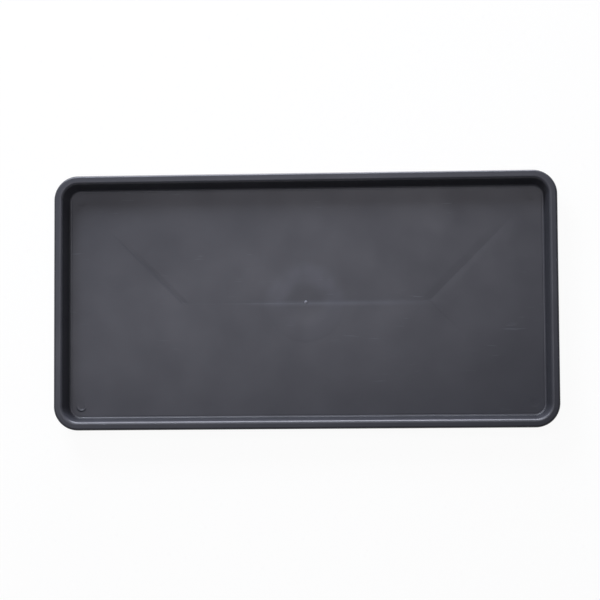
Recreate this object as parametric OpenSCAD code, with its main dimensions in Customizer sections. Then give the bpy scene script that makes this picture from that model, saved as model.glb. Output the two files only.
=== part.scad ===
// Shallow seed tray, moulded in one piece of charcoal polypropylene.
// Millimetres. The origin is on the standing plane under the middle of the tray:
// +X runs along the tray to the right, +Y across it to the rear, +Z up.

/* [Tray] */
// Length over the rim
tray_length = 540; // [400:1:700]
// Width over the rim
tray_width = 274; // [220:1:400]
// Height from the standing plane to the top of the rim
tray_height = 30; // [22:0.5:60]
// Radius of the rim's outer corners, seen from above
corner_r = 26; // [22:0.5:50]

/* [Wall] */
// Thickness of the wall, rim and skirt
wall_t = 2; // [1.2:0.1:2.2]
// Lean of the side wall from upright, in degrees
wall_lean = 8; // [2:0.5:12]
// Inside radius where the wall turns into the floor
root_r = 4; // [2:0.5:6]

/* [Rim] */
// Width of the rim, from its outer edge to the inner face of the wall
rim_w = 9; // [8:0.5:14]
// Radius over the inner edge of the rim, where the wall bends into it
nose_r = 3.5; // [2.3:0.1:4]
// Radius over the outer shoulder of the rim, where it bends into the skirt
shoulder_r = 2.4; // [2.3:0.1:4]
// Depth of the turned-down skirt below the top of the rim
skirt_drop = 8; // [7:0.5:14]

/* [Floor] */
// Thickness of the floor
floor_t = 2; // [1.2:0.1:3]
// Width of the flat border between the wall's root and the falling faces
floor_border = 24; // [20:1:40]
// Fall of the floor from the border to the centre line
floor_fall = 0.6; // [0.4:0.1:2.6]

/* [Feet] */
// Height of the feet below the floor's border
foot_h = 3; // [2.5:0.1:8]
// Radius of a foot where it leaves the floor
foot_r = 7; // [5:0.25:8]
// How much smaller a foot's radius is at the sole
foot_taper = 1.5; // [0.3:0.1:2]
// Depth of the dimple that the plastic over a foot sinks into
dimple_d = 0.5; // [0.3:0.1:2]
// Width of floor left between the dimple and the edge of its foot
dimple_land = 1.7; // [1:0.1:2.4]
// Least width of flat floor left between a foot and the wall's root
foot_land = 3; // [1:0.5:6]

/* [Gate] */
// Outer radius of the raised ring round the injection point
ring_r = 44; // [20:1:60]
// Inner radius of the raised ring
ring_inner_r = 10; // [6:1:18]
// Height of the raised ring above the floor
ring_h = 0.4; // [0.2:0.05:0.8]
// Radius of the broken-off injection stub at its base
stub_r = 1.8; // [1:0.1:3]
// Height of the injection stub above the floor
stub_h = 1.2; // [0.4:0.1:2]

/* [Hidden] */
$fn = 96;
charcoal = [0.25, 0.25, 0.27];
// length of a cut beyond the face that it opens
cut_over = 1;
floor_under = foot_h;
floor_top = floor_under + floor_t;
// centres of the plan corners, shared by every radius round the tray
corner_x = tray_length / 2 - corner_r;
corner_y = tray_width / 2 - corner_r;
// The wall, rim and skirt are one sheet, drawn as a section: distance out from a corner's centre, then height.
up = [0, 1];
down = [0, -1];
out = [1, 0];
wall_out = [cos(wall_lean), -sin(wall_lean)];
inner_edge = corner_r - rim_w;
function inner_face(z) = inner_edge - (tray_height - z) * tan(wall_lean);
// centres of the three bends of the sheet
root_z = floor_top + root_r;
root = [inner_face(root_z) - root_r / cos(wall_lean), root_z];
nose_z = tray_height - nose_r;
nose = [inner_face(nose_z) + nose_r / cos(wall_lean), nose_z];
shoulder = [corner_r - shoulder_r, tray_height - shoulder_r];
nose_under_r = nose_r - wall_t;
shoulder_under_r = shoulder_r - wall_t;
// how far a straight of the sheet reaches round into a bend
bite = 0.3;
// plan of the floor, out to where the wall's root begins
floor_corner_r = root[0];
floor_half_x = corner_x + floor_corner_r;
floor_half_y = corner_y + floor_corner_r;
// the feet share the centres of the floor's corners, or stand clear of the wall in a tighter corner
foot_inset = max(floor_corner_r, foot_r + foot_land);
foot_x = floor_half_x - foot_inset;
foot_y = floor_half_y - foot_inset;
// plan of the falling faces, all of one slope, inside a border that is wide enough for the feet
border = max(floor_border, foot_inset + foot_r + foot_land);
fall_half_x = floor_half_x - border;
fall_half_y = floor_half_y - border;
valley_half = fall_half_x - fall_half_y;

// Carries a section round the rounded rectangle of the tray: a straight side and a corner, four times.
module round_the_tray() {
    for (turn = [0:3]) {
        run = turn % 2 == 0 ? corner_x : corner_y;
        away = turn % 2 == 0 ? corner_y : corner_x;
        rotate([0, 0, 90 * turn])
            translate([-run, away, 0]) {
                rotate([90, 0, 90]) linear_extrude(2 * run) children();
                rotate([0, 0, 90]) rotate_extrude(angle = 90) children();
            }
    }
}

// A bend of the sheet about a centre, from direction a to direction b.
module bend(centre, inside_r, a, b) {
    reach = 2 * (inside_r + wall_t);
    translate(centre)
        intersection() {
            difference() {
                circle(inside_r + wall_t);
                circle(inside_r);
            }
            polygon([[0, 0], reach * a, reach * (a + b), reach * b]);
        }
}

// A point in the thickness of a bend, a little way from direction a to b: a straight reaches in to it.
function in_bend(centre, inside_r, a, b) =
    centre + (inside_r + wall_t / 2) * (a + bite * b) / norm(a + bite * b);

// Section of the wall: the bend out of the floor and the leaning leg.
module wall_section() {
    bend(root, root_r, down, wall_out);
    polygon([root + root_r * wall_out,
             nose - nose_r * wall_out,
             nose - nose_under_r * wall_out,
             root + (root_r + wall_t) * wall_out,
             in_bend(root, root_r, wall_out, down)]);
}

// Section of the rim: a flat land between the bend from the wall and the bend into the skirt.
module rim_section() {
    bend(nose, nose_under_r, up, -wall_out);
    bend(shoulder, shoulder_under_r, up, out);
    polygon([nose + nose_r * up,
             shoulder + shoulder_r * up,
             in_bend(shoulder, shoulder_under_r, up, out),
             shoulder + shoulder_under_r * up,
             nose + nose_under_r * up,
             in_bend(nose, nose_under_r, up, -wall_out)]);
}

// Section of the skirt: a straight lip with a full round along its lower edge.
module skirt_section() {
    bead_r = wall_t / 2;
    bead_z = tray_height - skirt_drop + bead_r;
    translate([corner_r - wall_t, bead_z]) square([wall_t, shoulder[1] - bead_z]);
    translate([corner_r - bead_r, bead_z])
        intersection() {
            circle(bead_r);
            translate([-bead_r, -bead_r]) square([wall_t, bead_r]);
        }
}

// A shallow trough under the level z: four faces of one slope that meet in a centre line.
module trough(z, headroom) {
    translate([0, 0, z])
        intersection() {
            rotate([90, 0, 90])
                linear_extrude(2 * fall_half_x, center = true)
                    polygon([[-fall_half_y, headroom], [-fall_half_y, 0], [0, -floor_fall],
                             [fall_half_y, 0], [fall_half_y, headroom]]);
            rotate([90, 0, 0])
                linear_extrude(2 * fall_half_y, center = true)
                    polygon([[-fall_half_x, headroom], [-fall_half_x, 0], [-valley_half, -floor_fall],
                             [valley_half, -floor_fall], [fall_half_x, 0], [fall_half_x, headroom]]);
        }
}

// Plan of the floor as a plate.
module floor_plate(h) {
    linear_extrude(h) {
        square([2 * floor_half_x, 2 * corner_y], center = true);
        square([2 * corner_x, 2 * floor_half_y], center = true);
        for (x = [-1, 1], y = [-1, 1])
            translate([x * corner_x, y * corner_y]) circle(floor_corner_r);
    }
}

module floor_panel() {
    color(charcoal)
        difference() {
            union() {
                translate([0, 0, floor_under]) floor_plate(floor_t);
                trough(floor_under, floor_t / 2);
            }
            trough(floor_top, cut_over);
            for (x = [-1, 1], y = [-1, 1])
                translate([x * foot_x, y * foot_y, floor_under - cut_over])
                    cylinder(r = foot_r, h = floor_t + 2 * cut_over);
        }
}

module side_wall() {
    color(charcoal) round_the_tray() wall_section();
}

module rim() {
    color(charcoal) round_the_tray() rim_section();
}

module rim_skirt() {
    color(charcoal) round_the_tray() skirt_section();
}

// A foot with a dimple over it in the floor: side -1 is left, 1 is right; row -1 is front, 1 is rear.
module foot(side, row) {
    dimple_r = foot_r - dimple_land;
    dimple_z = floor_top - dimple_d;
    color(charcoal)
        translate([side * foot_x, row * foot_y, 0])
            rotate_extrude()
                polygon([[0, 0], [foot_r - foot_taper, 0], [foot_r, floor_under], [foot_r, floor_top],
                         [dimple_r, floor_top], [dimple_r - dimple_d, dimple_z], [0, dimple_z]]);
}

// The ring lies on the falling faces and keeps one thickness over the centre line.
module gate_ring() {
    color(charcoal)
        intersection() {
            difference() {
                cylinder(r = ring_r, h = tray_height);
                cylinder(r = ring_inner_r, h = tray_height);
            }
            difference() {
                trough(floor_top, cut_over);
                trough(floor_top + ring_h, 2 * cut_over);
            }
        }
}

module gate_vestige() {
    tip_r = stub_r / 2;
    stub_z = floor_top - floor_fall;
    color(charcoal)
        intersection() {
            translate([0, 0, stub_z]) cylinder(r1 = stub_r, r2 = tip_r, h = stub_h);
            trough(floor_top, stub_h);
        }
}

floor_panel();
side_wall();
rim();
rim_skirt();
foot(-1, -1);  // foot_front_left
foot(1, -1);  // foot_front_right
foot(-1, 1);  // foot_rear_left
foot(1, 1);  // foot_rear_right
gate_ring();
gate_vestige();
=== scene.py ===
import math
import random

import bmesh
import bpy
from mathutils import Matrix, Vector
from mathutils.geometry import delaunay_2d_cdt


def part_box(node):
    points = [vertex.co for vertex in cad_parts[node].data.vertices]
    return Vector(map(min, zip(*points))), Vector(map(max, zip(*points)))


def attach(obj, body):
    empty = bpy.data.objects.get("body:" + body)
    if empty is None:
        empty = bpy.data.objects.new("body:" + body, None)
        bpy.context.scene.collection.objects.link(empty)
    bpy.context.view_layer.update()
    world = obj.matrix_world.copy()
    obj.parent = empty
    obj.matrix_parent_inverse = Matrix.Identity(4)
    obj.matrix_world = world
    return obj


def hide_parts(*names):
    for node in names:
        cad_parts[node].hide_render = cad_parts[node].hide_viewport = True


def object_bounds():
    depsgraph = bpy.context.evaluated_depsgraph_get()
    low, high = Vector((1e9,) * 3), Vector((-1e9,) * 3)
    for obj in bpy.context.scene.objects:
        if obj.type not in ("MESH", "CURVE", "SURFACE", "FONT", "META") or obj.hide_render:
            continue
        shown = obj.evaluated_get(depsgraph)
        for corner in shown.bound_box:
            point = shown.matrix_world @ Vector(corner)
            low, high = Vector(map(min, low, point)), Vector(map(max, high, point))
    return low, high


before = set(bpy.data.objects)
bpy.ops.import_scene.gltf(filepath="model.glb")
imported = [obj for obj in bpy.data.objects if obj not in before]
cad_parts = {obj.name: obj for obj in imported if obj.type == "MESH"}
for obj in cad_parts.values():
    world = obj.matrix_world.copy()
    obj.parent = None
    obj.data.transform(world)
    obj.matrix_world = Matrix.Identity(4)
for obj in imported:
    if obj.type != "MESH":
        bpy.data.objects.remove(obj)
cadLow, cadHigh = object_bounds()
scene = bpy.context.scene
scene.view_settings.view_transform = "Standard"
mm = 0.001
sameSpot = 0.001 * mm    # points closer than this are one point
print("frame loaded:", len(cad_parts), "nodes")


# shared helpers

def linearColour(hexCode):
    parts = [int(hexCode[i:i + 2], 16) / 255 for i in (1, 3, 5)]
    return [p / 12.92 if p <= 0.04045 else ((p + 0.055) / 1.055) ** 2.4 for p in parts] + [1.0]


def addNode(tree, kind, settings=None, inputs=None):
    # an input is given by its name or number, as a value or as another node's output
    node = tree.nodes.new(kind)
    for name, value in (settings or {}).items():
        setattr(node, name, value)
    for key, value in (inputs or {}).items():
        if isinstance(value, bpy.types.NodeSocket):
            tree.links.new(value, node.inputs[key])
        else:
            node.inputs[key].default_value = value
    return node


# settings that many nodes share
softRange = {"interpolation_type": "SMOOTHSTEP"}
product = {"operation": "MULTIPLY"}
larger = {"operation": "MAXIMUM"}
colourMix = {"data_type": "RGBA"}    # its colours are inputs 6 and 7 and output 2


def newMaterial(name):
    material = bpy.data.materials.new(name)
    material.use_nodes = True
    material.node_tree.nodes.clear()
    return material


def newObject(name, points, faces=(), edges=()):
    mesh = bpy.data.meshes.new(name)
    mesh.from_pydata(points, edges, faces)
    piece = bpy.data.objects.new(name, mesh)
    scene.collection.objects.link(piece)
    return piece


def circle(steps):
    # directions all round, in even steps
    return [(math.cos(2 * math.pi * k / steps), math.sin(2 * math.pi * k / steps)) for k in range(steps)]


def bandFaces(rings, count, start=0, closed=False):
    # faces between rings of points that follow each other, and from the last to the first if closed
    faces = []
    for ring in range(rings if closed else rings - 1):
        a, b = start + ring * count, start + (ring + 1) % rings * count
        for k in range(count):
            n = (k + 1) % count
            faces.append([a + k, b + k, b + n, a + n])
    return faces


def nodeGroup(name, sockets):
    tree = bpy.data.node_groups.new(name, "GeometryNodeTree")
    for label, kind in sockets.items():
        tree.interface.new_socket(label, in_out="INPUT", socket_type="NodeSocket" + kind)
    tree.interface.new_socket("Geometry", in_out="OUTPUT", socket_type="NodeSocketGeometry")
    return tree


def runNodes(name, tree, values):
    # lets a node tree make a mesh, keeps the plain mesh and takes the modifier off again
    piece = newObject(name, [])
    modifier = piece.modifiers.new(name, "NODES")
    modifier.node_group = tree
    for item in tree.interface.items_tree:
        if item.in_out == "INPUT" and item.name in values:
            modifier[item.identifier] = values[item.name]
    graph = bpy.context.evaluated_depsgraph_get()
    mesh = bpy.data.meshes.new_from_object(piece.evaluated_get(graph))
    piece.modifiers.remove(modifier)
    piece.data = mesh
    return piece


def finishPiece(piece, nodes, material, sharpDegrees=30):
    # closed, outward, smooth apart from true corners, and riding on the tray
    shape = bmesh.new()
    shape.from_mesh(piece.data)
    bmesh.ops.remove_doubles(shape, verts=shape.verts, dist=sameSpot)
    bmesh.ops.recalc_face_normals(shape, faces=shape.faces)
    shape.to_mesh(piece.data)
    shape.free()
    piece.data.shade_smooth()
    piece.data.set_sharp_from_angle(angle=math.radians(sharpDegrees))
    piece.data.materials.clear()
    piece.data.materials.append(material)
    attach(piece, "root")
    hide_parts(*nodes)
    print("piece:", piece.name, len(piece.data.polygons), "faces")


# material of the tray; a range is where a noise goes from nothing to full

polypropylene = {
    "dark": "#2d2e33", "pale": "#333439",
    "cloud": 60 * mm,            # size of the faint clouds in the cooled plastic
    "cloudRange": (0.3, 0.7),
    "grain": 0.9 * mm,           # spark-eroded grain, drawn about twice as coarse as it is so that it shows
    "grainHeight": 0.004 * mm,
    "wave": 45 * mm,             # slow waviness of a large thin moulding
    "waveHeight": 0.03 * mm,
    "blushAndLight": "#3b3c42",          # paler plastic round the injection point, with painted light that makes it paler behind it, on the side that faces the lamps
    # painted light: at the front the arch keeps only the share given last on the next line
    "blushFrom": 19 * mm, "blushTo": 42 * mm, "blushEdge": 14 * mm, "frontShareAwayFromLight": 0.4,
    "lump": 24 * mm, "lumpRange": (0.35, 0.6), "lumpLeast": 0.3,
    "centreGlint": "#4a4c53",           # painted highlight: a pale line along the middle, on the small step where the floor's centre line faces the light
    "glintAt": -1.4 * mm, "glintWidth": 4.4 * mm,
    "glintFrom": -28 * mm, "glintFadeLeft": 40 * mm, "glintTo": 40 * mm, "glintFadeRight": 120 * mm,
    "rubbed": "#45474c",         # short pale rub marks
    "rubLength": 22 * mm, "rubWidth": 1.9 * mm, "rubRange": (0.68, 0.78),
    "patch": 70 * mm, "patchRange": (0.55, 0.68),
    "roughness": 0.43, "roughnessSpread": 0.03, "ior": 1.49,
}


def blushAndLightShare(tree, place, axes, look):
    # the plastic that came in last is paler round the middle of the tray, and painted light makes that
    # paleness a soft and lumpy arch behind the middle, on the side that faces the lamps
    flat = addNode(tree, "ShaderNodeMapping", None, {"Vector": place, "Scale": (1, 1, 0)})
    reach = addNode(tree, "ShaderNodeVectorMath", {"operation": "LENGTH"}, {0: flat.outputs["Vector"]})
    half = look["blushEdge"] / 2
    starts = addNode(tree, "ShaderNodeMapRange", softRange, {
        0: reach.outputs["Value"],
        "From Min": look["blushFrom"] - half, "From Max": look["blushFrom"] + half})
    ends = addNode(tree, "ShaderNodeMapRange", softRange, {
        0: reach.outputs["Value"],
        "From Min": look["blushTo"] - half, "From Max": look["blushTo"] + half,
        "To Min": 1.0, "To Max": 0.0})
    ring = addNode(tree, "ShaderNodeMath", product, {0: starts.outputs["Result"], 1: ends.outputs["Result"]})
    # painted light: full paleness behind the middle, only a share of it at the front
    behind = addNode(tree, "ShaderNodeMapRange", softRange, {
        0: axes["Y"], "From Min": -look["blushFrom"], "From Max": look["blushFrom"] / 2,
        "To Min": look["frontShareAwayFromLight"]})
    lumps = addNode(tree, "ShaderNodeTexNoise", None, {
        "Vector": place, "Scale": 1 / look["lump"], "Detail": 1.0})
    lump = addNode(tree, "ShaderNodeMapRange", None, {
        0: lumps.outputs["Fac"], "From Min": look["lumpRange"][0], "From Max": look["lumpRange"][1],
        "To Min": look["lumpLeast"]})
    lumpy = addNode(tree, "ShaderNodeMath", product, {0: ring.outputs["Value"], 1: lump.outputs["Result"]})
    arch = addNode(tree, "ShaderNodeMath", product, {0: lumpy.outputs["Value"], 1: behind.outputs["Result"]})
    return arch.outputs["Value"]


def centreGlintShare(tree, axes, clouds, look):
    # a painted highlight along the tray, on the centre line's small step, that fades out at both ends, broken
    # up by the clouds
    aside = addNode(tree, "ShaderNodeMath", {"operation": "SUBTRACT"}, {0: axes["Y"], 1: look["glintAt"]})
    offLine = addNode(tree, "ShaderNodeMath", {"operation": "ABSOLUTE"}, {0: aside.outputs["Value"]})
    line = addNode(tree, "ShaderNodeMapRange", softRange, {
        0: offLine.outputs["Value"], "From Max": look["glintWidth"], "To Min": 1.0, "To Max": 0.0})
    starts = addNode(tree, "ShaderNodeMapRange", None, {
        0: axes["X"], "From Min": look["glintFrom"] - look["glintFadeLeft"], "From Max": look["glintFrom"]})
    ends = addNode(tree, "ShaderNodeMapRange", None, {
        0: axes["X"], "From Min": look["glintTo"], "From Max": look["glintTo"] + look["glintFadeRight"],
        "To Min": 1.0, "To Max": 0.0})
    span = addNode(tree, "ShaderNodeMath", product, {0: starts.outputs["Result"], 1: ends.outputs["Result"]})
    whole = addNode(tree, "ShaderNodeMath", product, {0: line.outputs["Result"], 1: span.outputs["Value"]})
    broken = addNode(tree, "ShaderNodeMath", product, {0: whole.outputs["Value"], 1: clouds})
    return broken.outputs["Value"]


def rubShare(tree, place, arch, look):
    # marks that run along the tray, a few at a time and on the pale arch
    stretched = addNode(tree, "ShaderNodeMapping", None, {
        "Vector": place, "Scale": (1 / look["rubLength"], 1 / look["rubWidth"], 1 / look["rubWidth"])})
    streaks = addNode(tree, "ShaderNodeTexNoise", None, {
        "Vector": stretched.outputs["Vector"], "Scale": 1.0, "Detail": 1.0})
    streak = addNode(tree, "ShaderNodeMapRange", None, {
        0: streaks.outputs["Fac"], "From Min": look["rubRange"][0], "From Max": look["rubRange"][1]})
    patches = addNode(tree, "ShaderNodeTexNoise", None, {
        "Vector": place, "Scale": 1 / look["patch"], "Detail": 1.0})
    patch = addNode(tree, "ShaderNodeMapRange", None, {
        0: patches.outputs["Fac"], "From Min": look["patchRange"][0], "From Max": look["patchRange"][1]})
    worn = addNode(tree, "ShaderNodeMath", larger, {0: patch.outputs["Result"], 1: arch})
    rub = addNode(tree, "ShaderNodeMath", product, {0: streak.outputs["Result"], 1: worn.outputs["Value"]})
    return rub.outputs["Value"]


def mouldedPolypropylene(look):
    # injection-moulded polypropylene with carbon black: a dull, faintly blue charcoal with a satin sheen,
    # a fine even grain, slow clouds and short pale rub marks
    material = newMaterial("moulded_polypropylene")
    tree = material.node_tree
    place = addNode(tree, "ShaderNodeTexCoord").outputs["Object"]
    axes = addNode(tree, "ShaderNodeSeparateXYZ", None, {"Vector": place}).outputs
    noise = addNode(tree, "ShaderNodeTexNoise", None, {
        "Vector": place, "Scale": 1 / look["cloud"], "Detail": 3.0, "Roughness": 0.55})
    clouds = noise.outputs["Fac"]
    cloudLow, cloudHigh = look["cloudRange"]
    tone = addNode(tree, "ShaderNodeMapRange", None, {0: clouds, "From Min": cloudLow, "From Max": cloudHigh})
    plastic = addNode(tree, "ShaderNodeMix", colourMix, {
        0: tone.outputs["Result"], 6: linearColour(look["dark"]), 7: linearColour(look["pale"])})
    # the paler colours lie over the plastic one after the other: the blush with its painted light, the
    # painted highlight along the middle, and the rub marks
    arch = blushAndLightShare(tree, place, axes, look)
    centreGlint = centreGlintShare(tree, axes, clouds, look)
    rub = rubShare(tree, place, arch, look)
    colour = plastic.outputs[2]
    for share, tint in ((arch, "blushAndLight"), (centreGlint, "centreGlint"), (rub, "rubbed")):
        layer = addNode(tree, "ShaderNodeMix", colourMix, {0: share, 6: colour, 7: linearColour(look[tint])})
        colour = layer.outputs[2]
    sheen = addNode(tree, "ShaderNodeMapRange", None, {
        0: clouds, "From Min": cloudLow, "From Max": cloudHigh,
        "To Min": look["roughness"] + look["roughnessSpread"],
        "To Max": look["roughness"] - look["roughnessSpread"]})
    waves = addNode(tree, "ShaderNodeTexNoise", None, {
        "Vector": place, "Scale": 1 / look["wave"], "Detail": 1.0})
    waveBump = addNode(tree, "ShaderNodeBump", None, {
        "Height": waves.outputs["Fac"], "Distance": look["waveHeight"], "Strength": 1.0})
    grain = addNode(tree, "ShaderNodeTexNoise", None, {
        "Vector": place, "Scale": 1 / look["grain"], "Detail": 2.0})
    grainBump = addNode(tree, "ShaderNodeBump", None, {
        "Height": grain.outputs["Fac"], "Distance": look["grainHeight"], "Strength": 1.0,
        "Normal": waveBump.outputs["Normal"]})
    shader = addNode(tree, "ShaderNodeBsdfPrincipled", None, {
        "Base Color": colour, "Roughness": sheen.outputs["Result"],
        "IOR": look["ior"], "Normal": grainBump.outputs["Normal"]})
    addNode(tree, "ShaderNodeOutputMaterial", None, {"Surface": shader.outputs["BSDF"]})
    return material


# material of the broken stub

tornPlastic = {
    # pale: partly strain whitening, partly a painted highlight on the stub
    "dark": "#6c6d73", "pale": "#a2a3a9",
    "fibre": 0.35 * mm, "fibreHeight": 0.05 * mm,
    "roughness": 0.6,
}


def tornPolypropylene(look):
    # polypropylene that was pulled until it broke: dull and fibrous, its pale colour partly strain whitening
    # and partly a painted highlight on the stub
    material = newMaterial("torn_polypropylene")
    tree = material.node_tree
    place = addNode(tree, "ShaderNodeTexCoord").outputs["Object"]
    fibres = addNode(tree, "ShaderNodeTexNoise", None, {
        "Vector": place, "Scale": 1 / look["fibre"], "Detail": 2.0})
    colour = addNode(tree, "ShaderNodeMix", colourMix, {
        0: fibres.outputs["Fac"], 6: linearColour(look["dark"]), 7: linearColour(look["pale"])})
    bump = addNode(tree, "ShaderNodeBump", None, {
        "Height": fibres.outputs["Fac"], "Distance": look["fibreHeight"], "Strength": 1.0})
    shader = addNode(tree, "ShaderNodeBsdfPrincipled", None, {
        "Base Color": colour.outputs[2], "Roughness": look["roughness"],
        "IOR": polypropylene["ior"], "Normal": bump.outputs["Normal"]})
    addNode(tree, "ShaderNodeOutputMaterial", None, {"Surface": shader.outputs["BSDF"]})
    return material


charcoal = mouldedPolypropylene(polypropylene)
whitenedAndHighlit = tornPolypropylene(tornPlastic)
print("materials:", charcoal.name, whitenedAndHighlit.name)


# the bent sheet: wall, rim and skirt are sections carried round the tray

sheet = {
    "cornerRadius": 26 * mm,     # outer corner of the rim, seen from above
    "rimWidth": 9 * mm,
    "thickness": 2 * mm,
    "lean": math.radians(9),     # of the wall, from upright
    "rootRadius": 2.6 * mm,      # inside, where the wall leaves the floor
    "rootDip": 0.09 * mm,        # how far the floor sinks just before that bend
    "noseRadius": 3.5 * mm,      # over the rim's inner edge
    "shoulderRadius": 2.4 * mm,  # over the rim's outer edge
    "rimFall": math.radians(2),  # slight fall of the rim towards its outer edge
    "arcSteps": 12,
    "arcEnd": 0.006,             # short first and last step of an arc, as a share of it
    "cornerSteps": 40,
}
trayTop = cadHigh.z
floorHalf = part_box("floor_panel")[1]
floorTop = floorHalf.z
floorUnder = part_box("side_wall")[0].z    # underside of the floor's flat border
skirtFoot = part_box("rim_skirt")[0].z
# radius of the floor's corners, seen from above
floorCorner = floorHalf.x - (cadHigh.x - sheet["cornerRadius"])


def arc(centre, radius, start, end):
    # the short steps at both ends let the arc's shading meet the next face squarely
    steps, short = sheet["arcSteps"], sheet["arcEnd"]
    shares = [0, short] + [i / steps for i in range(1, steps)] + [1 - short, 1]
    angles = [start + (end - start) * share for share in shares]
    return [(centre[0] + radius * math.cos(a), centre[1] + radius * math.sin(a)) for a in angles]


def sheetSections(s):
    # each section: distance out from a plan corner's centre, then height
    corner, thick, lean = s["cornerRadius"], s["thickness"], s["lean"]
    rootRadius, noseRadius, shoulderRadius = s["rootRadius"], s["noseRadius"], s["shoulderRadius"]
    down, up = -math.pi / 2, math.pi / 2
    wallOut, wallIn = -lean, math.pi - lean
    level = up - s["rimFall"]

    def innerFace(z):
        return corner - s["rimWidth"] - (trayTop - z) * math.tan(lean)

    rootZ = floorTop + rootRadius - s["rootDip"]
    noseZ = trayTop - noseRadius
    root = (innerFace(rootZ) - rootRadius / math.cos(lean), rootZ)
    nose = (innerFace(noseZ) + noseRadius / math.cos(lean), noseZ)
    # the sheet runs from the floor's edge to where it is tangent to the root
    away = (root[0] - floorCorner, root[1] - floorTop)
    rootStart = down + math.atan2(away[1], away[0]) - math.asin(rootRadius / math.hypot(*away))
    # the rim's flat band is tangent to the nose and the shoulder
    shoulderOut = corner - shoulderRadius
    shoulderZ = (noseZ + (noseRadius - shoulderRadius) / math.sin(level)
                 - (shoulderOut - nose[0]) / math.tan(level))
    shoulder = (shoulderOut, shoulderZ)
    noseUnder = noseRadius - thick
    legTop = [(nose[0] - r * math.cos(lean), noseZ + r * math.sin(lean)) for r in (noseRadius, noseUnder)]
    wall = ([(floorCorner, floorTop)] + arc(root, rootRadius, rootStart, wallOut) + legTop
            + arc(root, rootRadius + thick, wallOut, rootStart) + [(floorCorner, floorUnder)])
    rim = (arc(nose, noseRadius, wallIn, level)
           + arc(shoulder, shoulderRadius, level, 0)
           + arc(shoulder, shoulderRadius - thick, 0, level)
           + arc(nose, noseUnder, level, wallIn))
    bead = (corner - thick / 2, skirtFoot + thick / 2)
    skirt = [(corner, shoulderZ)] + arc(bead, thick / 2, 0, -math.pi) + [(corner - thick, shoulderZ)]
    return {"side_wall": wall, "rim": rim, "rim_skirt": skirt}


def sectionSweep():
    # a closed section carried round a rounded rectangle
    tree = nodeGroup("section_sweep", {
        "Section": "Object", "Length": "Float", "Width": "Float",
        "Corner radius": "Float", "Corner steps": "Int", "Material": "Material"})
    given = addNode(tree, "NodeGroupInput").outputs
    path = addNode(tree, "GeometryNodeCurvePrimitiveQuadrilateral", {"mode": "RECTANGLE"}, {
        "Width": given["Length"], "Height": given["Width"]})
    rounded = addNode(tree, "GeometryNodeFilletCurve", {"mode": "POLY"}, {
        "Curve": path.outputs["Curve"], "Count": given["Corner steps"], "Radius": given["Corner radius"]})
    upright = addNode(tree, "GeometryNodeSetCurveNormal", {"mode": "Z_UP"}, {
        "Curve": rounded.outputs["Curve"]})
    outline = addNode(tree, "GeometryNodeObjectInfo", None, {"Object": given["Section"]})
    profile = addNode(tree, "GeometryNodeMeshToCurve", None, {"Mesh": outline.outputs["Geometry"]})
    swept = addNode(tree, "GeometryNodeCurveToMesh", None, {
        "Curve": upright.outputs["Curve"], "Profile Curve": profile.outputs["Curve"]})
    real = addNode(tree, "GeometryNodeRealizeInstances", None, {"Geometry": swept.outputs["Mesh"]})
    dressed = addNode(tree, "GeometryNodeSetMaterial", None, {
        "Geometry": real.outputs["Geometry"], "Material": given["Material"]})
    addNode(tree, "NodeGroupOutput", None, {"Geometry": dressed.outputs["Geometry"]})
    return tree


def sweepSheet(s):
    tree = sectionSweep()
    names = {"side_wall": "leaningWall", "rim": "rolledRim", "rim_skirt": "turnedSkirt"}
    for node, section in sheetSections(s).items():
        # the path is the rim's outer edge: a section lies inward from it,
        # and its height runs against the path's side
        points = [(u - s["cornerRadius"], -z, 0) for u, z in section]
        edges = [(i, (i + 1) % len(points)) for i in range(len(points))]
        guide = newObject(node + "Section", points, edges=edges)
        piece = runNodes(names[node], tree, {
            "Section": guide, "Length": cadHigh.x - cadLow.x, "Width": cadHigh.y - cadLow.y,
            "Corner radius": s["cornerRadius"], "Corner steps": s["cornerSteps"], "Material": charcoal})
        bpy.data.objects.remove(guide)
        finishPiece(piece, [node], charcoal)


sweepSheet(sheet)


# the floor: a flat border and four faces that fall to a centre line

floorPanel = {
    "border": 24 * mm,
    "fall": 0.6 * mm,
    "foldRound": 4 * mm,      # softness of the fold from the border into a face
    "foldSteps": 5,           # rows of points on each side of that fold
    "hipRound": 1.5 * mm,     # softness where two faces meet
    "longColumns": 56, "endColumns": 36,
    "crowding": 5.0,          # how much closer the columns stand towards a face's ends
    "rowStep": 6 * mm,
}
# drawn-in lines that the mould leaves where two faces meet: depth, reach on the long face and on the end
# face, and the share of the line's length at which it has run out
creases = {
    "rearLeft": {"depth": 0.36 * mm, "longReach": 4.6 * mm, "endReach": 2.2 * mm, "hold": 0.90},
    "rearRight": {"depth": 0.20 * mm, "longReach": 8.5 * mm, "endReach": 6.0 * mm, "hold": 0.98},
    "frontRight": {"depth": 0.08 * mm, "longReach": 1.2 * mm, "endReach": 1.2 * mm, "hold": 0.35},
    "frontLeft": {"depth": 0.0, "longReach": 1.0 * mm, "endReach": 1.0 * mm, "hold": 0.5},
}
creaseFade = 0.6    # share of that length at which a line starts to fade
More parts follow.
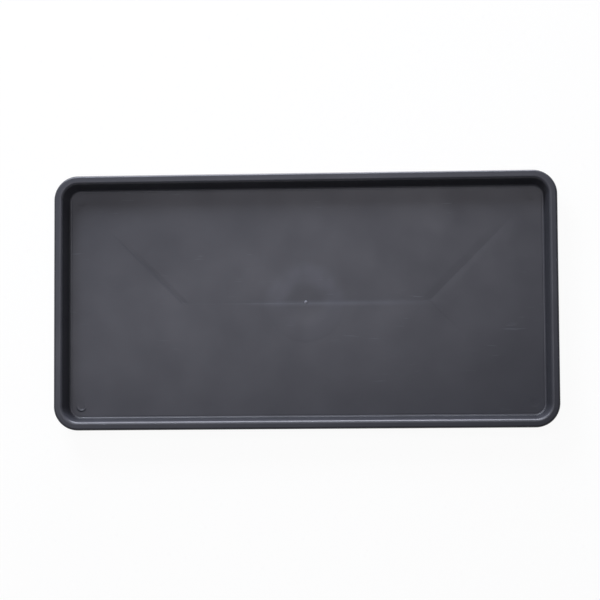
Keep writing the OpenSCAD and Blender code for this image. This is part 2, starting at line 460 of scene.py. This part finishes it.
# the line along the middle: a slow dip from the rear that ends in a small step, a little in front of it
valley = {
    "depth": 0.12 * mm, "shift": 1.2 * mm, "rearReach": 9.0 * mm, "frontReach": 0.22 * mm,
    "strongFrom": -40 * mm, "strongTo": 40 * mm, "fade": 50 * mm, "least": 0.4, "endFade": 6 * mm,
    # rows of points on both sides, in mm from the middle, close together at the step
    "rows": [0, 0.5, 0.9, 1.2, 1.29, 1.38, 1.47, 1.56, 1.8, 2.4, 3.2, 4.1, 5, 6.5, 8, 9.5],
}
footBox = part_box("foot_front_left")
footRadius = (footBox[1].x - footBox[0].x) / 2
footPlace = (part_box("foot_front_right")[0].x + footRadius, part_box("foot_rear_right")[0].y + footRadius)
footSteps = 64    # round a foot, and round the hole that it fills
fallHalf = (floorHalf.x - floorPanel["border"], floorHalf.y - floorPanel["border"])
slope = floorPanel["fall"] / fallHalf[1]


def easedRamp(distance, soft):
    if distance < -soft:
        return 0
    return distance if distance > soft else (distance + soft) ** 2 / (4 * soft)


def roundedMin(a, b, soft):
    overlap = max(soft - abs(a - b), 0)
    return min(a, b) - overlap * overlap / (4 * soft)


def smoothStep(value, start, end):
    share = min(max((value - start) / (end - start), 0), 1)
    return share * share * (3 - 2 * share)


def flank(distance, reach):
    # a slope that runs out at its reach
    return max(1 - abs(distance) / reach, 0) if reach > 0 else 0


def hipDip(x, y):
    inX, inY = fallHalf[0] - abs(x), fallHalf[1] - abs(y)
    crease = creases[("rear" if y > 0 else "front") + ("Right" if x > 0 else "Left")]
    along = 1 - min(inX, inY) / fallHalf[1]        # 0 at the centre line, 1 at the border
    across = (inX - inY) / math.sqrt(2)
    keep = 1 - smoothStep(along, crease["hold"] * creaseFade, crease["hold"])
    reach = crease["longReach"] if across > 0 else crease["endReach"]
    return crease["depth"] * keep * flank(across, reach)


def valleyDip(x, y):
    out = abs(x) - (fallHalf[0] - fallHalf[1])
    if out > 0:
        return 0
    strong = smoothStep(x, valley["strongFrom"] - valley["fade"], valley["strongFrom"])
    strong *= 1 - smoothStep(x, valley["strongTo"], valley["strongTo"] + valley["fade"])
    share = (valley["least"] + (1 - valley["least"]) * strong) * smoothStep(-out, 0, valley["endFade"])
    across = y + valley["shift"]
    # the step keeps its steepness where it gets lower
    reach = valley["rearReach"] if across > 0 else valley["frontReach"] * share
    return valley["depth"] * share * flank(across, reach)


def floorDrop(x, y):
    inX, inY = fallHalf[0] - abs(x), fallHalf[1] - abs(y)
    return slope * easedRamp(roundedMin(inX, inY, floorPanel["hipRound"]), floorPanel["foldRound"])


def floorHeight(x, y):
    onFaces = abs(x) < fallHalf[0] and abs(y) < fallHalf[1]
    dip = max(hipDip(x, y), valleyDip(x, y)) if onFaces else 0
    return floorTop - floorDrop(x, y) - dip


def crowdedShares(count):
    # from -1 to 1, close together at both ends
    crowd = floorPanel["crowding"]
    side = [1 - math.sinh(crowd * k / count) / math.sinh(crowd) for k in range(count + 1)]
    return [-s for s in side] + side[-2::-1]


class FloorPlan:
    # points and faces of the floor seen from above, each place once
    grid = 0.0001 * mm

    def __init__(self):
        self.points, self.faces, self.found = [], [], {}

    def point(self, x, y):
        key = (round(x / self.grid), round(y / self.grid))
        if key not in self.found:
            self.found[key] = len(self.points)
            self.points.append((x, y))
        return self.found[key]

    def face(self, corners):
        kept = [c for i, c in enumerate(corners) if c != corners[i - 1]]
        if len(kept) > 2:
            self.faces.append(kept)


def fallingFace(plan, rows, shares, place, halfLength):
    last = None
    for row in rows:
        line = [plan.point(*place(row, share * (halfLength - row))) for share in shares]
        if last:
            for i in range(len(line) - 1):
                plan.face([last[i], last[i + 1], line[i + 1], line[i]])
        last = line


def faceRows():
    # how far in from the border a falling face has its rows of points
    fold, foldSteps, inner = floorPanel["foldRound"], floorPanel["foldSteps"], fallHalf[1]
    rows = [fold * (i / foldSteps - 1) for i in range(2 * foldSteps + 1)]
    nearValley = [k * mm for k in valley["rows"]]
    steps = math.ceil((inner - nearValley[-1] - fold) / floorPanel["rowStep"])
    rows += [fold + (inner - nearValley[-1] - fold) * i / steps for i in range(1, steps)]
    return rows + [inner - v for v in reversed(nearValley)]


def roundedRectangle(halfX, halfY, radius, steps):
    points = []
    for turn, (sx, sy) in enumerate(((1, 1), (-1, 1), (-1, -1), (1, -1))):
        for i in range(steps + 1):
            angle = math.pi / 2 * (turn + i / steps)
            points.append((sx * (halfX - radius) + radius * math.cos(angle),
                           sy * (halfY - radius) + radius * math.sin(angle)))
    return points


def floorBorder(plan, rows, longShares, endShares):
    # the flat band between the falling faces and the wall, with a round hole at each foot
    edge = rows[0]
    inX, inY = fallHalf[0] - edge, fallHalf[1] - edge
    inside = ([(s * inX, -inY) for s in longShares] + [(inX, s * inY) for s in endShares[1:]]
              + [(-s * inX, inY) for s in longShares[1:]] + [(-inX, -s * inY) for s in endShares[1:-1]])
    loops = [roundedRectangle(floorHalf.x, floorHalf.y, floorCorner, sheet["cornerSteps"]), inside]
    for sx in (-1, 1):
        for sy in (-1, 1):
            loops.append([(sx * footPlace[0] + footRadius * c, sy * footPlace[1] + footRadius * s)
                          for c, s in circle(footSteps)])
    points = [p for loop in loops for p in loop]
    edges, start = [], 0
    for loop in loops:
        edges += [(start + i, start + (i + 1) % len(loop)) for i in range(len(loop))]
        start += len(loop)
    insideOnly, tolerance = 1, 1e-7
    made = delaunay_2d_cdt([Vector(p) for p in points], edges, [], insideOnly, tolerance)
    triangles, givenPoints = made[2], made[3]
    spots = [points[given[0]] if given else None for given in givenPoints]
    # thin triangles beside a hole have their middles just inside the foot's circle
    holeRadius = footRadius * 0.999
    for triangle in triangles:
        corners = [spots[i] for i in triangle]
        x, y = (sum(c[i] for c in corners) / len(corners) for i in (0, 1))
        overFaces = abs(x) < inX and abs(y) < inY
        overFoot = math.hypot(abs(x) - footPlace[0], abs(y) - footPlace[1]) < holeRadius
        if not overFaces and not overFoot:
            plan.face([plan.point(*c) for c in corners])


def makeFloor():
    plan = FloorPlan()
    rows = faceRows()
    longShares, endShares = crowdedShares(floorPanel["longColumns"]), crowdedShares(floorPanel["endColumns"])
    for side in (1, -1):
        fallingFace(plan, rows, longShares, lambda d, x: (x, side * (fallHalf[1] - d)), fallHalf[0])
        fallingFace(plan, rows, endShares, lambda d, y: (side * (fallHalf[0] - d), y), fallHalf[1])
    floorBorder(plan, rows, longShares, endShares)
    # the same plan again underneath, and a wall round every free edge
    count = len(plan.points)
    top = [(x, y, floorHeight(x, y)) for x, y in plan.points]
    under = [(x, y, floorUnder - floorDrop(x, y)) for x, y in plan.points]
    faces = plan.faces + [[i + count for i in reversed(f)] for f in plan.faces]
    uses = {}
    for f in plan.faces:
        for i, a in enumerate(f):
            uses.setdefault(frozenset((a, f[i - 1])), []).append((f[i - 1], a))
    faces += [[b, a, a + count, b + count] for pairs in uses.values() if len(pairs) == 1 for a, b in pairs]
    finishPiece(newObject("fallingFloor", top + under, faces), ["floor_panel"], charcoal)


makeFloor()


# low feet at the four corners, each with a shallow dimple over it, and a lip round the dimple

lowFoot = {
    "taper": 1.5 * mm,
    "soleRound": 0.6 * mm, "soleSteps": 5,
    "dimple": 0.05 * mm,        # depth inside the lip
    # height at the front of the dimple, from where it runs out to the rear: clear at the front left foot only
    "clearLip": 0.6 * mm, "faintLip": 0.04 * mm,
    "lipRadius": 4.3 * mm, "lipHalf": 1.7 * mm, "lipSteps": 8,
    "innerRings": (0.5, 0.25, 0),    # inside the lip, as shares of its radius
}


def makeFoot(f, name):
    soleEdge, lipEdge = footRadius - f["taper"], f["lipRadius"] + f["lipHalf"]
    soleSteps, lipSteps = f["soleSteps"], f["lipSteps"]
    below = [(0, 0)]
    for i in range(soleSteps + 1):
        a = math.pi / 2 * i / soleSteps
        below.append((soleEdge - f["soleRound"] * (1 - math.sin(a)), f["soleRound"] * (1 - math.cos(a))))
    below.append((footRadius, floorUnder))
    above = [footRadius] + [lipEdge - f["lipHalf"] * i / lipSteps for i in range(2 * lipSteps + 1)]
    above += [f["lipRadius"] * share for share in f["innerRings"]]
    turns = circle(footSteps)
    points = [(r * c, r * s, z) for r, z in below for c, s in turns]
    for r in above:
        drop = f["dimple"] * smoothStep(lipEdge - r, 0, 2 * f["lipHalf"])
        off = min(abs(r - f["lipRadius"]) / f["lipHalf"], 1)
        lip = f[name + "Lip"] * (1 + math.cos(math.pi * off)) / 2
        for c, s in turns:
            share = ((1 - s) / 2) ** 2    # s is -1 at the front
            points.append((r * c, r * s, floorTop - drop + lip * share))
    foot = newObject(name + "Foot", points, bandFaces(len(below) + len(above), footSteps))
    shape = bmesh.new()
    shape.from_mesh(foot.data)
    bmesh.ops.remove_doubles(shape, verts=shape.verts, dist=sameSpot)
    bmesh.ops.dissolve_degenerate(shape, edges=shape.edges, dist=sameSpot / 2)
    shape.to_mesh(foot.data)
    shape.free()
    return foot


def cornerSet():
    # one piece at the front left corner of a rectangle, and another at the other three
    tree = nodeGroup("corner_set", {
        "Front left piece": "Object", "Other piece": "Object",
        "Spacing along": "Float", "Spacing across": "Float", "Material": "Material"})
    given = addNode(tree, "NodeGroupInput").outputs
    corners = addNode(tree, "GeometryNodeMeshGrid", None, {
        "Size X": given["Spacing along"], "Size Y": given["Spacing across"],
        "Vertices X": 2, "Vertices Y": 2})
    index = addNode(tree, "GeometryNodeInputIndex").outputs["Index"]    # the front left corner is the first
    both = addNode(tree, "GeometryNodeJoinGeometry")
    for label, test in (("Front left piece", "EQUAL"), ("Other piece", "GREATER_THAN")):
        chosen = addNode(tree, "FunctionNodeCompare", {"data_type": "INT", "operation": test}, {
            2: index, 3: 0})
        piece = addNode(tree, "GeometryNodeObjectInfo", None, {"Object": given[label], "As Instance": True})
        placed = addNode(tree, "GeometryNodeInstanceOnPoints", None, {
            "Points": corners.outputs["Mesh"], "Selection": chosen.outputs["Result"],
            "Instance": piece.outputs["Geometry"]})
        tree.links.new(placed.outputs["Instances"], both.inputs["Geometry"])
    real = addNode(tree, "GeometryNodeRealizeInstances", None, {"Geometry": both.outputs["Geometry"]})
    dressed = addNode(tree, "GeometryNodeSetMaterial", None, {
        "Geometry": real.outputs["Geometry"], "Material": given["Material"]})
    addNode(tree, "NodeGroupOutput", None, {"Geometry": dressed.outputs["Geometry"]})
    return tree


def makeFeet(f):
    clearFoot, faintFoot = makeFoot(f, "clear"), makeFoot(f, "faint")
    feet = runNodes("lowFeet", cornerSet(), {
        "Front left piece": clearFoot, "Other piece": faintFoot,
        "Spacing along": 2 * footPlace[0], "Spacing across": 2 * footPlace[1], "Material": charcoal})
    for foot in (clearFoot, faintFoot):
        bpy.data.objects.remove(foot)
    nodes = ["foot_" + row + "_" + side for row in ("front", "rear") for side in ("left", "right")]
    finishPiece(feet, nodes, charcoal)


makeFeet(lowFoot)


# the raised ring round the point where the plastic was injected

raisedRing = {
    "inner": 10 * mm, "outer": 44 * mm,
    "height": 0.26 * mm, "crest": 25 * mm,            # the radius at which it is highest
    "edgeHeight": 0.06 * mm, "edgeRound": 4 * mm,     # rise close to the outer edge
    "sunk": 0.2 * mm,                                 # into the floor
    "swellSteps": 36, "edgeSteps": 8,
    "spokes": 22,                                     # in a quarter, beside those that run level
    "levelTo": 5,                                     # mm from the middle
}


def ringRise(r, g):
    # a low edge outside, a slow swell to the crest and a run down to the middle
    edge = g["edgeHeight"] * smoothStep(g["outer"] - r, 0, g["edgeRound"])
    swell = smoothStep(g["outer"] - r, 0, g["outer"] - g["crest"])
    inner = smoothStep(r, g["inner"], g["crest"])
    return min(edge + (g["height"] - g["edgeHeight"]) * swell, g["height"]) * inner


def spokeAngles(r, g):
    # the first spokes run level with the line along the middle of the floor, the others spread evenly
    level = [math.asin(k * mm / r) for k in valley["rows"] if k <= g["levelTo"]]
    last, spokes = level[-1], g["spokes"]
    quarter = level + [last + (math.pi / 2 - last) * i / spokes for i in range(1, spokes + 1)]
    half = quarter + [math.pi - a for a in reversed(quarter[:-1])]
    return half + [2 * math.pi - b for b in reversed(half[1:-1])]


def makeRing(g):
    swellSteps, edgeSteps = g["swellSteps"], g["edgeSteps"]
    edgeStart = g["outer"] - g["edgeRound"]
    radii = [g["inner"] + (edgeStart - g["inner"]) * i / swellSteps for i in range(swellSteps)]
    radii += [edgeStart + g["edgeRound"] * i / edgeSteps for i in range(edgeSteps + 1)]
    # a closed section: out over the top, and back in under the floor's surface
    section = [(r, ringRise(r, g)) for r in radii] + [(r, -g["sunk"]) for r in reversed(radii)]
    points = []
    for r, rise in section:
        for a in spokeAngles(r, g):
            x, y = r * math.cos(a), r * math.sin(a)
            points.append((x, y, floorHeight(x, y) + rise))
    faces = bandFaces(len(section), len(points) // len(section), closed=True)
    finishPiece(newObject("gateRing", points, faces), ["gate_ring"], charcoal)


makeRing(raisedRing)


# the broken stub at the injection point

brokenStub = {
    "radius": 1.8 * mm, "height": 1.2 * mm,
    "sunk": 0.2 * mm,                            # into the floor
    "steps": 24, "levels": 10, "seed": 4,
    "narrowing": 0.5, "flare": 1.5,              # share of the radius lost at the top, and how late
    "ragged": 0.15, "rough": 0.05,               # shares of the radius and of the height
    "rise": 0.78, "slant": 0.14,                 # the top's mean height and its slant, as shares
    "slantTurn": 0.7,                            # radians
    "pit": (0.1 * mm, 0.1 * mm), "pitRise": 0.7,
    "sharpDegrees": 50,
}


def makeStub(g):
    # a nub torn off by hand: a rough cone with a slanting, pitted top
    rng = random.Random(g["seed"])
    steps, levels = g["steps"], g["levels"]
    base = floorHeight(0, 0) - g["sunk"]
    wobble = [rng.uniform(1 - g["ragged"], 1.0) for _ in range(steps)]
    points = [(0, 0, base)]
    for level in range(levels):
        share = level / (levels - 1)
        radius = g["radius"] * (1 - g["narrowing"] * share ** g["flare"])
        for k in range(steps):
            angle = 2 * math.pi * k / steps
            r = radius * (1 - share * (1 - wobble[k]))
            rough = share * rng.uniform(-g["rough"], g["rough"])
            top = g["sunk"] + g["height"] * (g["rise"] + g["slant"] * math.sin(angle + g["slantTurn"]))
            points.append((r * math.cos(angle), r * math.sin(angle), base + top * (share + rough)))
    points.append((*g["pit"], base + g["sunk"] + g["height"] * g["pitRise"]))
    pit = len(points) - 1
    topRing = pit - steps
    faces = bandFaces(levels, steps, start=1)
    for k in range(steps):
        n = (k + 1) % steps
        faces.append([0, 1 + k, 1 + n])
        faces.append([pit, topRing + n, topRing + k])
    finishPiece(newObject("gateStub", points, faces), ["gate_vestige"], whitenedAndHighlit, g["sharpDegrees"])


makeStub(brokenStub)


# stage: a pale floor and a white surround

stage = {
    "floorRadius": 6.0, "coveRadius": 1.2, "coveHeight": 2.0,
    "steps": 96, "coveSteps": 8,
    "paper": "#f4f4f2", "whiteShare": 0.95,
}


def seamlessPaper(look):
    # matt white paper: seen by the camera and in reflections it is white, but it still takes the shadow
    material = newMaterial("seamless_paper")
    tree = material.node_tree
    rays = addNode(tree, "ShaderNodeLightPath").outputs
    seen = addNode(tree, "ShaderNodeMath", larger, {0: rays["Is Camera Ray"], 1: rays["Is Glossy Ray"]})
    seenAny = addNode(tree, "ShaderNodeMath", larger, {
        0: seen.outputs["Value"], 1: rays["Is Transmission Ray"]})
    share = addNode(tree, "ShaderNodeMath", product, {0: seenAny.outputs["Value"], 1: look["whiteShare"]})
    matt = addNode(tree, "ShaderNodeBsdfDiffuse", None, {"Color": linearColour(look["paper"])})
    white = addNode(tree, "ShaderNodeEmission", None, {"Color": (1, 1, 1, 1), "Strength": 1.0})
    mixed = addNode(tree, "ShaderNodeMixShader", None, {
        0: share.outputs["Value"], 1: matt.outputs["BSDF"], 2: white.outputs["Emission"]})
    addNode(tree, "ShaderNodeOutputMaterial", None, {"Surface": mixed.outputs["Shader"]})
    return material


def makeStage(look):
    # a flat floor that turns up into a low round surround
    steps, coveSteps = look["steps"], look["coveSteps"]
    flat, cove = look["floorRadius"] - look["coveRadius"], look["coveRadius"]
    bend = [math.pi / 2 * i / coveSteps for i in range(coveSteps + 1)]
    outline = [(flat + cove * math.sin(a), cove * (1 - math.cos(a))) for a in bend]
    outline.append((look["floorRadius"], look["coveHeight"]))
    points = [(0, 0, 0)] + [(r * c, r * s, z) for r, z in outline for c, s in circle(steps)]
    faces = [[0, 1 + k, 1 + (k + 1) % steps] for k in range(steps)]
    floor = newObject("paperFloor", points, faces + bandFaces(len(outline), steps, start=1))
    floor.data.materials.append(seamlessPaper(look))
    floor.data.shade_smooth()


makeStage(stage)


# light: a faint even room, a long softbox close overhead, two window-like lamps some way behind the tray,
# and a long low one far behind it for the bright lines along its front bends

room = {"colour": "#fbfbff", "strength": 0.04}
# turn is in degrees about the lamp's own axis
lamps = {
    "overheadSoftbox": {"place": (-0.09, 0.095, 0.85), "aim": (-0.09, 0.095, 0), "size": (0.92, 0.16),
                        "turn": 14, "watts": 3.3, "colour": "#f3f1fc"},
    "leftWindow": {"place": (-0.78, 1.5, 1.12), "aim": (0, 0, 0), "size": (0.8, 0.7),
                   "turn": 0, "watts": 39, "colour": "#ecf1ff"},
    "rearWindow": {"place": (0, 1.93, 0.52), "aim": (0, 0, 0), "size": (0.6, 0.36),
                   "turn": 0, "watts": 9, "colour": "#ecf1ff"},
    "farStrip": {"place": (-0.1, 4.2, 0.25), "aim": (-0.1, 0, 0.02), "size": (1.4, 0.45),
                 "turn": 0, "watts": 225, "colour": "#f0f1ff"},
}


def lightRoom(look):
    world = bpy.data.worlds.new("softRoom")
    scene.world = world
    world.use_nodes = True
    tree = world.node_tree
    tree.nodes.clear()
    glow = addNode(tree, "ShaderNodeBackground", None, {
        "Color": linearColour(look["colour"]), "Strength": look["strength"]})
    addNode(tree, "ShaderNodeOutputWorld", None, {"Surface": glow.outputs["Background"]})


def hangLamp(name, lamp):
    light = bpy.data.lights.new(name, "AREA")
    light.shape = "RECTANGLE"
    light.size, light.size_y = lamp["size"]
    light.energy = lamp["watts"]
    light.color = linearColour(lamp["colour"])[:3]
    holder = bpy.data.objects.new(name, light)
    holder.location = lamp["place"]
    aimed = (Vector(lamp["aim"]) - Vector(lamp["place"])).to_track_quat("-Z", "Y")
    turned = aimed.to_matrix() @ Matrix.Rotation(math.radians(lamp["turn"]), 3, "Z")
    holder.rotation_euler = turned.to_euler()
    holder.visible_camera = False
    scene.collection.objects.link(holder)


lightRoom(room)
for name, lamp in lamps.items():
    hangLamp(name, lamp)


# camera: almost straight above the tray, as far off as the photograph's slight perspective says

view = {
    "turn": 0.347, "tiltForward": -4.147, "tiltSideways": -3.677,    # degrees
    "offset": (6.338 * mm, -2.127 * mm), "distance": 2265.09 * mm, "lens": 126,
}


def aimCamera(v):
    camera = bpy.data.objects.new("overheadCamera", bpy.data.cameras.new("overheadCamera"))
    camera.data.lens = v["lens"]
    turned = (Matrix.Rotation(math.radians(v["turn"]), 4, "Z")
              @ Matrix.Rotation(math.radians(v["tiltForward"]), 4, "X")
              @ Matrix.Rotation(math.radians(v["tiltSideways"]), 4, "Y"))
    shift = Matrix.Translation((v["offset"][0], v["offset"][1], -v["distance"]))
    camera.matrix_world = (shift @ turned @ Matrix.Translation((0, 0, -floorTop))).inverted()
    scene.collection.objects.link(camera)
    scene.camera = camera


aimCamera(view)
print("stage, lamps and camera set")
